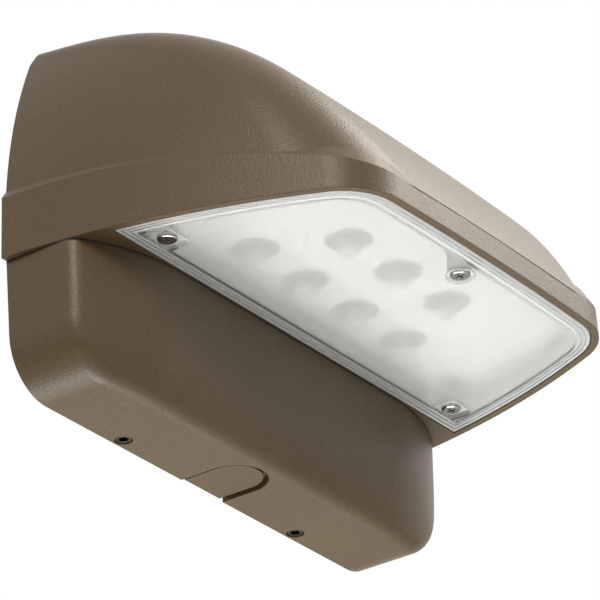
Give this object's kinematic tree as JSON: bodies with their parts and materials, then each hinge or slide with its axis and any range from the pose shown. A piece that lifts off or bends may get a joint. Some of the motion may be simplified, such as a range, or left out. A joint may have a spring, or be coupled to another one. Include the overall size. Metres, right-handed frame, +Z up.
{
  "type": "wall pack light",
  "caption": "Compact outdoor LED wall pack: domed hood over a down-facing clear lens, lower box with a conduit slot, head hinged on a hooked wall plate.",
  "frame": {"origin": "centre of the wall plate's wire hole, on the wall plane", "axes": "-Y points out from the wall, +Z is up, X runs along the wall and is square to the symmetry plane"},
  "size_m": [0.204, 0.1174, 0.1254],
  "materials": {
    "bronze_casting": "fine-textured powder coat",
    "gasket_rubber": "matt",
    "plated_screw": "zinc plated",
    "lens_screw_steel": "satin",
    "plated_steel": "zinc plated",
    "ground_green": "green dyed plating",
    "black_oxide": "black oxide",
    "lens_clear": "clear, lightly frosted inside",
    "tray_white": "satin white",
    "board_white": "white solder mask",
    "emitter_yellow": "phosphor under silicone",
    "optic_clear": "clear",
    "pad_grey": "matt",
    "driver_black": "matt",
    "lead_red": "matt",
    "lead_black": "matt",
    "lead_white": "matt",
    "lead_green": "matt",
    "connector_clear": "translucent amber"
  },
  "bodies": {
    "wall_plate": {"mounting_plate": "plated_steel", "ground_screw": "ground_green"},
    "head": {"head_housing": "bronze_casting", "lower_box": "bronze_casting", "seam_gasket": "gasket_rubber", "wall_gasket": "gasket_rubber", "casting_screws": "plated_screw", "hinge_rod": "plated_steel", "lens": "lens_clear", "lens_gasket": "gasket_rubber", "lens_screws": "lens_screw_steel", "reflector_tray": "tray_white", "led_board": "board_white", "led_emitters": "emitter_yellow", "led_optics": "optic_clear", "board_screws": "plated_screw", "thermal_pad": "pad_grey", "lead_grommet": "gasket_rubber", "led_driver": "driver_black", "driver_screws": "plated_screw", "led_lead_positive": "lead_red", "led_lead_negative": "lead_black", "supply_lead_line": "lead_black", "supply_lead_neutral": "lead_white", "supply_lead_ground": "lead_green", "splice_connectors": "connector_clear"},
    "left_locking_screw": {"set_screw_left": "black_oxide"},
    "right_locking_screw": {"set_screw_right": "black_oxide"},
    "slot_tongue": {"conduit_plug": "bronze_casting"}
  },
  "joints": [
    {"name": "head_swing", "type": "hinge", "parent": "wall_plate", "child": "head", "pos_m": [0, -0.009, 0.056], "axis": [-1, 0, 0], "range_deg": [0, 20]},
    {"name": "left_screw_travel", "type": "slide", "parent": "head", "child": "left_locking_screw", "axis": [0, 0, -1], "range_m": [0, 0.005]},
    {"name": "right_screw_travel", "type": "slide", "parent": "head", "child": "right_locking_screw", "axis": [0, 0, -1], "range_m": [0, 0.005]},
    {"name": "tongue_travel", "type": "slide", "parent": "head", "child": "slot_tongue", "axis": [0, 1, 0], "range_m": [0, 0.024]}
  ]
}
